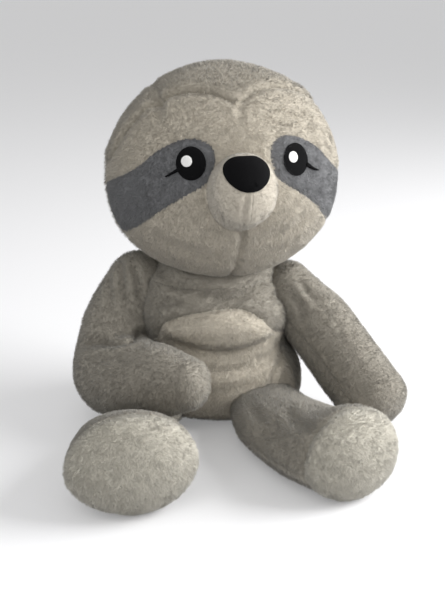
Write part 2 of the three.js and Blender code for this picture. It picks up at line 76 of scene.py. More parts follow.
# Light: each lamp's name, place and size in metres, and power in watts
LAMPS = (("key", (1.45, -0.15, 0.85), 1.1, 42), ("fill", (-0.5, -1.6, 1.5), 1.6, 13))
LAMP_AIM = Vector((0, -0.05, 0.18))
WORLD_LIGHT = 0.53

# Cloth: its mesh size, its thickness, the room it leaves for the pile and the floor, and its filling
VOXEL, MUZZLE_VOXEL = 2.5 * MM, 1.6 * MM
CLOTH = 2 * MM
PILE_SINK = 2.8 * MM
FLOOR_GAP = 0.6 * MM

# Piles: strands on a square centimetre, then their length and width in millimetres
PILES = {
    "face": (190, 3.6, 0.4), "patch": (190, 3.2, 0.4), "crown": (80, 4, 0.5), "head_side": (70, 4, 0.5),
    "muzzle": (110, 1.7, 0.45), "seat": (30, 3, 0.6), "belly": (170, 3.4, 0.4), "chest": (140, 3.5, 0.42),
    "back": (60, 3.8, 0.55), "neck": (80, 3.2, 0.46), "limb": (120, 3.6, 0.44), "right_arm": (88, 3.6, 0.5),
    "sole": (210, 3.8, 0.4), "under": (50, 3.4, 0.55),
}
# The nap's way, how much strands lean, swirl and scatter, and how much their shading varies
NAP = np.array((0.0, -0.25, -1.0))
LEAN, SWIRL, SCATTER, SHADING = 0.75, 1.1, 0.7, 0.35
SWIRL_SIZE, SWIRL_SEEDS = 5 * MM, (3, 5, 7)
# A strand's length as shares of its pile's: a base, what chance adds, and what patches add or take
BASE_LENGTH, RANDOM_LENGTH, PATCHY_LENGTH = 0.75, 0.35, 0.25
PATCHY_SIZE, PATCHY_SEED = 3.5 * MM, 11
# How deep a strand's root sits in its cloth, in millimetres
ROOT_DEPTH = 0.4
# Keeps the sideways direction of a strand that stands straight up from having no length
NUDGE = 0.001

# Colours: a pile's two tones lie a share below and above its colour
PILE_LOOKS = {
    "cream_pile": ((0.56, 0.51, 0.425), 0.1),
    "sole_pile": ((0.575, 0.545, 0.47), 0.1),
    "muzzle_velour": ((0.52, 0.475, 0.4), 0.05),
    "grey_pile": ((0.31, 0.286, 0.242), 0.11),
    "crown_pile": ((0.38, 0.345, 0.285), 0.1),
    "patch_pile": ((0.185, 0.187, 0.192), 0.1),
}
# Scales of a pile's noises, the worn patches' share in its tone, and where its two tones end
PILE_NOISES = {"tufts": 420, "worn": 38, "fine": 700}
WORN_SHARE = 0.25
PILE_TONE_ENDS = (0.3, 0.7)
# Threads: colour and roughness, then their lines, and their two tones as shares of the colour
THREAD_LOOKS = {"black_thread": ((0.004, 0.004, 0.0045), 0.85), "white_thread": ((0.85, 0.84, 0.82), 0.5)}
THREAD_LINES = {"Scale": 420, "Distortion": 1.5}
THREAD_TONES = (0.7, 1.2)

# Head, in millimetres and in shares of its half sizes
HEAD_HALF = np.array((116.0, 97.0, 109.0))
HEAD_AT = np.array((0.0, -15.0, 262.0))
HEAD_TURN, HEAD_TIP = math.radians(12), math.radians(-14)
HEAD_RINGS = 56
CROWN_FLAT = 0.955
# Where its panels part: the side seams' depth, the crown's half width and the brow's height as a share
SIDE_SEAM, CROWN_HALF_WIDTH, BROW_SHARE = 14.0, 66.0, -0.125
# The roll of the hood behind the hairline: its height, its width and its end in widths
HOOD_ROLL, HOOD_ROLL_WIDTH, HOOD_ROLL_END = 3 * MM, 7 * MM, 6
# Rays to the face start at this depth of the head's own axes, which lies in front of it
AHEAD_OF_FACE = -200

# Where the torso's panels part, in millimetres
TORSO_LEAN, TORSO_SEAM, SEAT_TOP, NECK_LOW, BELLY_FRONT = -15.0, 8.0, 9.0, 150.0, -30
# How far the sole's seam lies back from the end of the leg's spine
SOLE_SEAM_IN = 5.0
# Shoulders: places and radii of their balls
SHOULDER_AT = {"left": (64.0, 5.0, 124.0), "right": (-87.0, 5.0, 135.0)}
SHOULDER_RADIUS = {"left": 30, "right": 33}
# The ways across the planes that part each arm's outer cloth from its inner
ARM_SPLIT = {
    "left": np.cross((-74.0, -90.0, 0.0), (90.0, -74.0, -90.0)),
    "right": np.array((-0.62, -0.76, 0.2)),
}

# The head's profile: heights in shares of its half height, then its width and its depth there as shares
HEAD_PROFILE = [
    (-0.72, 1.052, 1.01), (-0.5, 1.05, 1.016), (-0.25, 1.018, 1.012), (0, 1, 1),
    (0.25, 0.987, 0.997), (0.5, 0.981, 0.993), (0.73, 0.966, 0.996),
]

# Spines of the swept forms, close to the solids': x, y, z, half width and half height in millimetres
SPINES = {
    "torso": [
        (-15, 0, 2, 73, 54), (-14, 0, 16, 95, 71), (-13, 0, 35, 99, 75), (-12, 0, 62, 94, 76),
        (-10.5, -1.5, 88, 79, 71), (-9.3, -4.4, 112, 83, 74), (-8, -3, 132, 77, 64),
        (-5, -1, 149, 66, 57), (-2, 0, 166, 56, 50), (0, 1, 184, 46, 44),
    ],
    "arm_left": [
        (65, 2, 129, 33, 32), (101, -17, 96, 36.5, 35), (131.5, -43, 59, 37, 36.5), (154, -69, 34, 37, 37),
    ],
    "upper_arm_right": [
        (-85, 3, 139, 35.5, 35), (-104, -12, 104, 39.5, 38.5), (-117, -37, 57, 39.5, 39),
    ],
    "lower_arm_right": [
        (-113, -47, 54, 42.5, 44), (-81, -82, 62, 41, 43), (-51, -108, 72, 33, 35),
        (-29, -123, 76, 24.5, 27),
    ],
    "leg_left": [
        (46, -60, 24, 41, 24), (60, -110, 27, 49, 29), (87, -156, 31, 53, 34), (113, -193, 42, 52, 43),
    ],
    "leg_right": [
        (-68, -60, 24, 32, 24.6), (-86, -112, 22, 36, 23), (-88, -168, 34, 48, 35),
        (-78, -219, 45.5, 60, 46.5),
    ],
    "muzzle": [(-4, -68, -28, 34, 38), (-4, -111, -26, 31.5, 34.5)],
}
# How far the rounded ends stand out past the spine, at its root and at its tip
ENDS = {
    "torso": (2, 14), "arm_left": (30, 27), "upper_arm_right": (32.5, 30), "lower_arm_right": (40, 18),
    "leg_left": (38, 32), "leg_right": (38, 34), "muzzle": (8, 29),
}
# The muzzle's middle on the face, across and down from the head's middle
MUZZLE_DRIFT, MUZZLE_DROP = -4.0, 28.0

# Outlines on the face, in shares of the head's half width and half height
HAIRLINE = [
    (1.08, 0.15), (0.98, 0.36), (0.84, 0.5), (0.65, 0.61), (0.42, 0.65), (0.24, 0.62), (0.1, 0.55),
    (0, 0.49), (-0.1, 0.55), (-0.24, 0.61), (-0.42, 0.62), (-0.64, 0.52), (-0.81, 0.37), (-0.93, 0.21),
    (-1.02, 0.05), (-1.4, -0.3), (-1.2, -1.5), (1.2, -1.5), (1.4, -0.3),
]
PATCH = [
    (0.22, 0.09), (0.3, 0.185), (0.41, 0.215), (0.55, 0.18), (0.68, 0.11), (0.85, -0.02), (1.2, -0.18),
    (1.2, -0.44), (0.97, -0.56), (0.8, -0.5), (0.62, -0.36), (0.42, -0.24), (0.27, -0.14),
]
# The nose's outline in shares of its half sizes
NOSE = [
    (0, 0.97), (0.5, 0.93), (0.88, 0.6), (1, 0.1), (0.84, -0.45), (0.45, -0.88), (0, -1),
    (-0.45, -0.88), (-0.84, -0.45), (-1, 0.1), (-0.88, 0.6), (-0.5, 0.93),
]
# The belly's outline, across and up in millimetres
BELLY = [
    (-70, 60), (-67, 98), (-58, 116), (-38, 126), (-12, 132), (16, 133), (36, 124), (47, 108),
    (58, 98), (74, 88), (90, 60), (90, -40), (-84, -40),
]

# Stitched pieces: places and half sizes on the head, then heights of middle and edge, in millimetres
EYE_AT = {"left": (50.0, 0.0), "right": (-46.0, 0.0)}
EYE_HALF, EYE_HEIGHTS = (12.6, 14.8), (2.8, 2.0)
GLINT_FROM_EYE, GLINT_HALF, GLINT_HEIGHTS = (-3.5, 2), (4.6, 5), (3.4, 2.9)
NOSE_AT, NOSE_HALF, NOSE_HEIGHTS = (-5.5, -13.4), (19.4, 15.6), (3.6, 1.4)
LASH_HALF_WIDTHS, LASH_HEIGHTS = (1.5, 0.5), (3.6, 2.8)
LASH_PIXELS = {
    "right": [(181, 168), (174, 172.5), (166.5, 176.5)],
    "left": [(305, 164), (311, 168), (316.5, 170)],
}
RIM_SHARE, RIM_DEPTH = 0.98, 1

# How far the pile stays off the middles and the ends of the eyes, the muzzle's root and the nose
EYE_BARE, EYE_END_BARE, MUZZLE_BARE, NOSE_BARE = 12.2 * MM, 9.5 * MM, 31 * MM, 9 * MM
EYE_ENDS = (-5, 5)
NOSE_SPOTS = ((0, 0), (-9, 4), (9, 4), (0, -7), (0, 7))

# Seams: depth and width in millimetres
SEAMS = {
    "hairline": (2.2, 4), "cheeks": (3.2, 4), "crown": (2.2, 5), "patches": (1, 3), "torso": (2, 4),
    "belly": (1.5, 3.5), "arm_left": (0.9, 3), "arm_right": (1.4, 3.5), "sole": (2.4, 3.5), "leg": (1, 3),
}

# Soft lumps of the stuffing: size and height in millimetres, and a seed
LUMPS = {
    "head": ((40, 1.2, 21), (14, 0.2, 22)),
    "muzzle": ((16, 0.5, 31),),
    "torso": ((34, 1.4, 51), (13, 0.35, 52)),
    "arm_left": ((34, 1.2, 61), (13, 0.25, 62)),
    "arm_right": ((34, 1.4, 71), (13, 0.25, 72)),
    "leg": ((34, 1.2, 81), (13, 0.25, 82)),
}

# Folds: places in the photograph's pixels, then depth and width in millimetres
FOLDS = {
    "head": [
        ([(150, 92), (158, 104), (160, 116)], 4, 5),
        ([(262, 240), (290, 232), (312, 214)], 1.6, 6),
        ([(150, 236), (185, 252), (226, 262)], 1.4, 7),
        ([(240, 100), (243, 118)], 1.5, 4),
    ],
    "muzzle": [
        ([(248, 190), (246, 206), (244, 222), (242, 236)], 1.7, 2.2),
        ([(218, 216), (219, 226)], 1.2, 3),
        ([(263, 218), (263, 228)], 1.2, 3),
    ],
    "torso": [
        ([(154, 268), (182, 286), (227, 296), (251, 290), (286, 273)], 5, 6),
        ([(150, 306), (176, 302), (214, 303), (250, 300), (284, 296)], 2.6, 5),
        ([(158, 327), (180, 320), (198, 315), (217, 308), (239, 311), (258, 318), (273, 330)], 2.6, 6),
        ([(278, 334), (267, 342), (239, 353), (207, 353), (182, 347), (160, 336)], 4.6, 6),
        ([(205, 371), (228, 370), (251, 366), (278, 349)], 2.6, 6),
        ([(212, 398), (240, 388), (266, 372)], 1.4, 6),
        ([(226, 414), (256, 400), (286, 378)], 1.6, 6),
        ([(286, 352), (276, 372), (270, 392)], 2, 4),
    ],
    "arm_left": [
        ([(308, 297), (334, 316), (359, 365), (395, 390)], 0.5, 3),
        ([(300, 276), (308, 290), (320, 300)], 2.5, 4),
        ([(292, 292), (300, 306), (303, 322)], 2, 4),
    ],
    "arm_right": [
        ([(80, 343), (98, 341), (117, 342), (139, 337)], 5, 5),
        ([(118, 256), (121, 278), (126, 304)], 3, 4),
        ([(132, 262), (138, 284), (142, 304)], 3, 4),
        ([(106, 268), (108, 292), (112, 312)], 2, 4),
        ([(128, 341), (142, 333), (160, 336)], 4, 4),
        ([(92, 360), (110, 356), (132, 358)], 1.6, 5),
    ],
    "leg_left": [
        ([(286, 402), (296, 420), (318, 432)], 2.4, 5),
        ([(250, 404), (262, 420)], 2, 5),
    ],
    "leg_right": [],
}
# The roll of cloth across the belly: places in pixels, then height and width in millimetres
BELLY_ROLL_PIXELS = [(168, 332), (200, 332), (232, 331), (262, 330)]
BELLY_ROLL_SIZE = (6, 14)
# The soft roll beside a fold: its height as a share of the depth, its place and spread in widths
ROLL_SHARE, ROLL_AT, ROLL_SPREAD = 0.4, 2.1, 0.9
# How near to its line's ends a fold or a ridge stops growing shallower, as a share of the line
FOLD_END, RIDGE_END = 0.02, 0.1
# Rounds of smoothing that straighten the borders between labels
BORDER_ROUNDS = 24


# Curves and swept forms

def curve_at(rows, places):
    """Points of the smooth curve through the rows, at places given in row numbers."""
    rows = np.asarray(rows, float)
    rows = np.vstack([2 * rows[0] - rows[1], rows, 2 * rows[-1] - rows[-2]])
    i = np.clip(np.floor(places).astype(int), 0, len(rows) - 4)
    f = (places - i)[:, None]
    a, b, c, d = rows[i], rows[i + 1], rows[i + 2], rows[i + 3]
    square = (2 * a - 5 * b + 4 * c - d) * f ** 2
    cube = (3 * b - 3 * c + d - a) * f ** 3
    return 0.5 * (2 * b + (c - a) * f + square + cube)


def smooth_line(points, per_span=4):
    """A curve through three points or more, or the straight line between two."""
    points = np.asarray(points, float)
    if len(points) < 3:
        return points[0] + np.linspace(0, 1, 2 * per_span)[:, None] * (points[-1] - points[0])
    return curve_at(points, np.linspace(0, len(points) - 1, per_span * (len(points) - 1) + 1))


def closed_line(points, per_span=5):
    """A closed curve through the points, without its last point, which is the first again."""
    points = list(points)
    places = np.linspace(1, len(points) + 1, per_span * len(points) + 1)
    return curve_at(points[-1:] + points + points[:2], places)[:-1]


def unit(vectors):
    return vectors / np.maximum(np.linalg.norm(vectors, axis=-1, keepdims=True), TINY)


def ring_faces(rings, around):
    """Quads between rings of points, and fans to the two end points that follow them."""
    faces = []
    for r in range(rings - 1):
        for i in range(around):
            j = (i + 1) % around
            faces.append((r * around + i, (r + 1) * around + i, (r + 1) * around + j, r * around + j))
    last, ends = (rings - 1) * around, rings * around
    for i in range(around):
        j = (i + 1) % around
        faces.append((ends, i, j))
        faces.append((ends + 1, last + j, last + i))
    return faces


def swept(rows, upright, root, tip, around=44, steps=30, caps=8):
    """A closed form of oval rings along a smooth spine, with rounded ends, in metres."""
    at = curve_at(rows, np.linspace(0, len(rows) - 1, steps + 1))
    along = unit(np.gradient(at[:, :3], axis=0))
    turns = np.linspace(0, 2 * np.pi, around, endpoint=False)
    rings = []

    def ring(i, pushed, scale):
        rise = unit(upright - along[i] * (upright @ along[i]))
        side = np.cross(along[i], rise)
        centre = at[i, :3] + pushed * along[i]
        oval_points = at[i, 3] * np.outer(np.cos(turns), side) + at[i, 4] * np.outer(np.sin(turns), rise)
        rings.append(centre + scale * oval_points)

    for k in range(1, caps):
        ring(0, -root * math.cos(math.pi / 2 * k / caps), math.sin(math.pi / 2 * k / caps))
    for i in range(steps + 1):
        ring(i, 0, 1)
    for k in range(caps - 1, 0, -1):
        ring(-1, tip * math.cos(math.pi / 2 * k / caps), math.sin(math.pi / 2 * k / caps))
    ends = [at[0, :3] - root * along[0], at[-1, :3] + tip * along[-1]]
    return np.vstack(rings + [ends]) * MM, ring_faces(len(rings), around)


def ball(centre, radius):
    """A ball swept along a short spine of 1 mm up and 1 mm down."""
    rows = [(*centre[:2], centre[2] + rise, radius, radius) for rise in (-1, 1)]
    return swept(rows, FRONT, root=radius - 1, tip=radius - 1, around=32, steps=2)


def oval(half_width, half_height, count=12):
    turns = np.linspace(0, 2 * math.pi, count, endpoint=False)
    return [(half_width * math.cos(t), half_height * math.sin(t)) for t in turns]


def noise(points, size, seed):
    """Smooth value noise from -1 to 1 with lumps of about the given size."""
    p = points / size + NOISE_START
    base = np.floor(p).astype(np.int64)
    f = p - base
    f = f * f * (3 - 2 * f)
    total = np.zeros(len(points))
    for corner in range(8):
        step = np.array([(corner >> k) & 1 for k in range(3)])
        key = (base + step) @ HASH_AXES + seed * HASH_SEED
        key = (key ^ (key >> 13)) * HASH_MIX & HASH_MASK
        value = ((key >> 7) % NOISE_LEVELS) / (NOISE_LEVELS / 2) - 1
        total += value * np.prod(np.where(step, f, 1 - f), axis=1)
    return total


def inside(points, outline):
    """Which 2D points lie inside a closed outline."""
    x, z = points.T
    result = np.zeros(len(points), bool)
    for (ax, az), (bx, bz) in zip(outline, np.roll(outline, -1, axis=0)):
        crosses = (az > z) != (bz > z)
        reach = ax + (z - az) * (bx - ax) / (bz - az if bz != az else TINY)
        result ^= crosses & (x < reach)
    return result


def between(first, second):
    """The pairs of a label of the first group and one of the second."""
    return {frozenset((a, b)) for a in first for b in second}


def taper(place, end):
    """Runs along a line from little at its ends to 1 in its middle."""
    return np.sin(np.pi * np.clip(place, end, 1 - end)) ** 0.5


# Surfaces

class Surface:
    """A closed form that is worked on as a whole and then parted into its sewn panels."""

    def __init__(self, shells, voxel=VOXEL, relax=5):
        """Joins shells of points and faces into one even mesh."""
        verts, faces, base = [], [], 0
        for shell_verts, shell_faces in shells:
            verts.append(shell_verts)
            faces += [tuple(i + base for i in face) for face in shell_faces]
            base += len(shell_verts)
        mesh = bpy.data.meshes.new("union")
        mesh.from_pydata(np.vstack(verts).tolist(), [], faces)
        whole = bpy.data.objects.new("union", mesh)
        bpy.context.scene.collection.objects.link(whole)
        remesh = whole.modifiers.new("union", "REMESH")
        remesh.mode = "VOXEL"
        remesh.voxel_size = voxel
        depsgraph = bpy.context.evaluated_depsgraph_get()
        self.mesh = bpy.data.meshes.new_from_object(whole.evaluated_get(depsgraph))
        bpy.data.objects.remove(whole)
        self.read()
        self.draw_in(self.edges, relax)

    def read(self):
        """Takes points, edges and faces from the mesh, and the two faces at each edge."""
        mesh = self.mesh
        self.co = np.empty(3 * len(mesh.vertices))
        mesh.vertices.foreach_get("co", self.co)
        self.co = self.co.reshape(-1, 3)
        self.edges = np.empty(2 * len(mesh.edges), np.int32)
        mesh.edges.foreach_get("vertices", self.edges)
        self.edges = self.edges.reshape(-1, 2)
        self.polygons = [tuple(p.vertices) for p in mesh.polygons]
        loop_edges = np.empty(len(mesh.loops), np.int32)
        mesh.loops.foreach_get("edge_index", loop_edges)
        counts = np.array([len(p) for p in self.polygons])
        owner = np.repeat(np.arange(len(counts)), counts)
        order = np.argsort(loop_edges, kind="stable")
        pairs = loop_edges[order]
        twin = np.nonzero(pairs[:-1] == pairs[1:])[0]
        self.twin_edges = pairs[twin]
        self.twin_faces = np.stack([owner[order[twin]], owner[order[twin + 1]]], axis=1)
        self.push = np.full(len(self.co), -PILE_SINK)
        self.refresh()

    def refresh(self):
        """Gives the points to the mesh and takes their normals from it."""
        self.mesh.vertices.foreach_set("co", self.co.ravel())
        self.mesh.update()
        self.normals = np.empty(3 * len(self.co), np.float32)
        self.mesh.vertex_normals.foreach_get("vector", self.normals)
        self.normals = self.normals.reshape(-1, 3).astype(float)

    def tree(self):
        return BVHTree.FromPolygons(self.co.tolist(), self.polygons)

    def face_centres(self):
        return np.array([self.co[list(p)].mean(axis=0) for p in self.polygons])

    def draw_in(self, edges, times, neighbours=None):
        """Moves points, or those with so many neighbours, half way to the mean of their neighbours."""
        a, b = edges.T
        degree = np.bincount(edges.ravel(), minlength=len(self.co))[:, None]
        moving = degree == neighbours if neighbours else degree > 0
        for _ in range(times):
            total = np.zeros_like(self.co)
            for k in range(3):
                total[:, k] = np.bincount(a, self.co[b, k], len(self.co))
                total[:, k] += np.bincount(b, self.co[a, k], len(self.co))
            self.co += np.where(moving, 0.5 * (total / np.maximum(degree, 1) - self.co), 0)
        self.refresh()

    def apply(self):
        """Moves the points by what was pushed, smooths them once and keeps them off the floor."""
        self.co += self.normals * self.push[:, None]
        self.push[:] = 0
        self.draw_in(self.edges, times=1)
        self.co[:, 2] = np.maximum(self.co[:, 2], FLOOR_GAP)
        self.refresh()

    def distance(self, line):
        """How far each point lies from the line, and where along it from 0 to 1."""
        best, place = np.full(len(self.co), np.inf), np.zeros(len(self.co))
        for i in range(len(line) - 1):
            step = line[i + 1] - line[i]
            t = np.clip(((self.co - line[i]) @ step) / max(step @ step, TINY), 0, 1)
            gap = np.linalg.norm(self.co - line[i] - t[:, None] * step, axis=1)
            place = np.where(gap < best, (i + t) / (len(line) - 1), place)
            best = np.minimum(gap, best)
        return best, place

    def fold(self, line, depth, width):
        """A crease along the line, drawn in by depth, with a soft roll on each side."""
        gap, place = self.distance(line)
        x = gap / (width * MM)
        roll = ROLL_SHARE * np.exp(-((x - ROLL_AT) / ROLL_SPREAD) ** 2)
        self.push += taper(place, FOLD_END) * depth * MM * (roll - np.exp(-x ** 2))

    def folds(self, rows):
        tree = self.tree()
        for pixels, depth, width in rows:
            self.fold(rays(tree, pixels), depth, width)

    def ridge(self, line, height, width):
        gap, place = self.distance(line)
        self.push += taper(place, RIDGE_END) * height * MM * np.exp(-(gap / (width * MM)) ** 2)

    def lumps(self, rows):
        for size, height, seed in rows:
            self.push += height * MM * noise(self.co, size * MM, seed)

    def label(self, labels):
        """Takes a label for each face and straightens the borders between labels."""
        self.labels = np.asarray(labels)
        pairs = self.labels[self.twin_faces]
        border = pairs[:, 0] != pairs[:, 1]
        self.border_edges = self.edges[self.twin_edges[border]]
        self.border_pairs = np.sort(pairs[border], axis=1)
        self.draw_in(self.border_edges, BORDER_ROUNDS, neighbours=2)

    def from_seam(self, wanted):
        """How far each point lies from the borders between the wanted pairs of labels."""
        keep = np.array([frozenset(p) in wanted for p in self.border_pairs.tolist()])
        points = self.co[np.unique(self.border_edges[keep])]
        tree = kdtree.KDTree(len(points))
        for i, p in enumerate(points):
            tree.insert(p, i)
        tree.balance()
        return np.array([tree.find(p)[2] for p in self.co])

    def seam(self, wanted, depth, width):
        self.push -= depth * MM * np.exp(-(self.from_seam(wanted) / (width * MM)) ** 2)


def rays(tree, pixels):
    """A line of the photograph's pixels, cast from its camera onto a surface."""
    hits = []
    for u, v in smooth_line(pixels):
        way = FORWARD * FOCAL_PIXELS + RIGHTWARD * (u - PHOTO_WIDTH / 2) + UPWARD * (PHOTO_HEIGHT / 2 - v)
        hit = tree.ray_cast(CAMERA_AT, way.normalized())[0]
        if hit is not None:
            hits.append(hit)
    return np.array(hits)


# Materials

def material(name, roughness, sheen=0.0, specular=0.2):
    made = bpy.data.materials.new(name)
    made.use_nodes = True
    shader = made.node_tree.nodes["Principled BSDF"]
    shader.inputs["Roughness"].default_value = roughness
    shader.inputs["Sheen Weight"].default_value = sheen
    shader.inputs["Sheen Roughness"].default_value = 0.5
    shader.inputs["Specular IOR Level"].default_value = specular
    return made, shader


def node(made, kind, inputs, **settings):
    """A new node in a material, with numbers set and sockets joined to its inputs."""
    new = made.node_tree.nodes.new("ShaderNode" + kind)
    for setting, value in settings.items():
        setattr(new, setting, value)
    for key, value in inputs.items():
        if isinstance(value, bpy.types.NodeSocket):
            made.node_tree.links.new(value, new.inputs[key])
        else:
            new.inputs[key].default_value = value
    return new


def tint(made, shader, value, colour, tones, ends=(0.0, 1.0)):
    """Colours the shader in two tones of a colour, mixed as the value runs from one end to the other."""
    ramp = node(made, "ValToRGB", {0: value})
    for element, tone, end in zip(ramp.color_ramp.elements, tones, ends):
        element.position = end
        element.color = (*[min(1, c * tone) for c in colour], 1)
    made.node_tree.links.new(ramp.outputs[0], shader.inputs["Base Color"])


def roughen(made, shader, height, strength, distance):
    """Gives the shader small bumps that follow a height."""
    bump = node(made, "Bump", {"Strength": strength, "Distance": distance, "Height": height})
    made.node_tree.links.new(bump.outputs[0], shader.inputs["Normal"])


def pile(name, colour, spread):
    """Pile cloth: tufts of slightly different tone, larger worn patches and a soft sheen."""
    made, shader = material(name, roughness=0.95, sheen=0.25)
    place = node(made, "TexCoord", {}).outputs["Object"]
    noises = {
        kind: node(made, "TexNoise", {"Vector": place, "Scale": scale, "Detail": 3}).outputs["Fac"]
        for kind, scale in PILE_NOISES.items()
    }
    worn = node(made, "Math", {0: noises["worn"], 1: WORN_SHARE}, operation="MULTIPLY").outputs[0]
    parts = {0: noises["tufts"], 1: 1 - WORN_SHARE, 2: worn}
    mix = node(made, "Math", parts, operation="MULTIPLY_ADD").outputs[0]
    tint(made, shader, mix, colour, (1 - spread, 1 + spread), PILE_TONE_ENDS)
    roughen(made, shader, noises["fine"], strength=0.35, distance=MM)
    return made


def thread(name, colour, roughness):
    """Satin stitch: close threads side by side."""
    made, shader = material(name, roughness, specular=0.08)
    place = node(made, "TexCoord", {}).outputs["Object"]
    wave = node(made, "TexWave", {"Vector": place, **THREAD_LINES}, bands_direction="Z").outputs["Fac"]
    tint(made, shader, wave, colour, THREAD_TONES)
    roughen(made, shader, wave, strength=0.4, distance=0.4 * MM)
    return made


CLOTHS = {name: pile(name, *look) for name, look in PILE_LOOKS.items()}
CLOTHS.update({name: thread(name, *look) for name, look in THREAD_LOOKS.items()})


# Panels and pile

def new_object(name, verts, faces, cloth):
    mesh = bpy.data.meshes.new(name)
    mesh.vertices.add(len(verts))
    mesh.vertices.foreach_set("co", np.ascontiguousarray(verts, np.float32).ravel())
    counts = np.fromiter((len(f) for f in faces), np.int32, len(faces))
    corners = faces.ravel() if isinstance(faces, np.ndarray) else [v for f in faces for v in f]
    mesh.loops.add(int(counts.sum()))
    mesh.loops.foreach_set("vertex_index", np.asarray(corners, np.int32))
    mesh.polygons.add(len(faces))
    mesh.polygons.foreach_set("loop_start", np.concatenate([[0], np.cumsum(counts)[:-1]]).astype(np.int32))
    mesh.polygons.foreach_set("use_smooth", np.full(len(faces), True))
    mesh.materials.append(CLOTHS[cloth])
    mesh.update(calc_edges=True)
    made = bpy.data.objects.new(name, mesh)
    bpy.context.scene.collection.objects.link(made)
    return made


def place_piece(piece, body, bends_to=None, nodes=()):
    """Gives a piece its body, or bakes its place into its points when it reaches to another body, and hides
    the solids it replaces.
    """
    if bends_to:
        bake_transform(piece)
    else:
        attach(piece, body)
    if nodes:
        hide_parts(*nodes)


def panel(surface, name, label, cloth, body, bends_to, nodes):
    """The faces of one label as a cloth of real thickness."""
    chosen = [surface.polygons[i] for i in np.nonzero(surface.labels == label)[0]]
    used = np.unique(np.concatenate([np.array(p) for p in chosen]))
    index = np.full(len(surface.co), -1)
    index[used] = np.arange(len(used))
    outer = surface.co[used]
    inner = outer - surface.normals[used] * CLOTH
    faces = [tuple(int(index[v]) for v in p) for p in chosen]
    ways = {(p[k], p[(k + 1) % len(p)]) for p in faces for k in range(len(p))}
    count = len(used)
    shell = faces + [tuple(v + count for v in reversed(p)) for p in faces]
    shell += [(b, a, a + count, b + count) for a, b in sorted(ways) if (b, a) not in ways]
    piece = new_object(name, np.vstack([outer, inner]), shell, cloth)
    place_piece(piece, body, bends_to, nodes)
    return chosen


def strands(surface, name, chosen, cloth, body, bends_to, per_cm2, length, width, keep_off):
    """Short pile on a panel: one closed spike for each tuft, leaning with the nap."""
    triangles = []
    for p in chosen:
        triangles += [(p[0], p[k], p[k + 1]) for k in range(1, len(p) - 1)]
    triangles = np.array(triangles)
    a, b, c = (surface.co[triangles[:, k]] for k in range(3))
    area = 0.5 * np.linalg.norm(np.cross(b - a, c - a), axis=1)
    count = int(per_cm2 * area.sum() * CM2_PER_M2)
    pick = np.searchsorted(np.cumsum(area) / area.sum(), rng.random(count)).clip(0, len(triangles) - 1)
    s, t = rng.random((2, count, 1))
    flip = s + t > 1
    s, t = np.where(flip, 1 - s, s), np.where(flip, 1 - t, t)
    root = a[pick] + s * (b - a)[pick] + t * (c - a)[pick]
    normal = unit(sum(w * surface.normals[triangles[pick, k]] for k, w in enumerate((1 - s - t, s, t))))
    keep = np.ones(count, bool)
    for centre, radius in keep_off:
        keep &= np.linalg.norm(root - centre, axis=1) > radius
    root, normal = root[keep], normal[keep]

    swirl = np.stack([noise(root, SWIRL_SIZE, seed) for seed in SWIRL_SEEDS], axis=1)
    way = NAP + SWIRL * swirl + SCATTER * rng.normal(size=root.shape)
    way = unit(way - normal * np.sum(way * normal, axis=1, keepdims=True))
    way = unit(normal + LEAN * way)
    share = BASE_LENGTH + RANDOM_LENGTH * rng.random((len(root), 1))
    share = share + PATCHY_LENGTH * noise(root, PATCHY_SIZE, PATCHY_SEED)[:, None]
    tip = root + way * (length * MM * share)
    tip[:, 2] = np.maximum(tip[:, 2], FLOOR_GAP)
    side = unit(np.cross(way, normal + NUDGE))
    across = np.cross(way, side)
    low = root - normal * ROOT_DEPTH * MM
    low[:, 2] = np.maximum(low[:, 2], FLOOR_GAP)
    half = width * MM / 2
    turns = (0, 2 * math.pi / 3, 4 * math.pi / 3)
    corners = [low + half * (math.cos(k) * side + math.sin(k) * across) for k in turns]

    verts = np.stack(corners + [tip], axis=1).reshape(-1, 3)
    start = 4 * np.arange(len(root))[:, None]
    spike = ((0, 1, 3), (1, 2, 3), (2, 0, 3), (2, 1, 0))
    faces = np.concatenate([start + np.array(f) for f in spike], axis=1).reshape(-1, 3)
    piece = new_object(name, verts, faces, cloth)
    soft = unit(normal + SHADING * rng.normal(size=normal.shape))
    piece.data.normals_split_custom_set_from_vertices(np.repeat(soft, 4, axis=0).tolist())
    place_piece(piece, body, bends_to)


def dress(surface, rows, body, bends_to=None, keep_off=()):
    """Makes the panels of a surface from rows of name, label, cloth, pile and the solids replaced."""
    for name, label, cloth, kind, nodes in rows:
        chosen = panel(surface, name, label, cloth, body, bends_to, nodes)
        strands(surface, name + "_pile", chosen, cloth, body, bends_to, *PILES[kind], keep_off)


# Head

turn_cos, turn_sin = math.cos(HEAD_TURN), math.sin(HEAD_TURN)
tip_cos, tip_sin = math.cos(HEAD_TIP), math.sin(HEAD_TIP)
spin = np.array([[turn_cos, -turn_sin, 0], [turn_sin, turn_cos, 0], [0, 0, 1]])
nod = np.array([[1, 0, 0], [0, tip_cos, -tip_sin], [0, tip_sin, tip_cos]])
HEAD_AXES = spin @ nod


def to_head(points):
    return (points / MM - HEAD_AT) @ HEAD_AXES


def from_head(points):
    return (np.asarray(points, float) @ HEAD_AXES.T + HEAD_AT) * MM


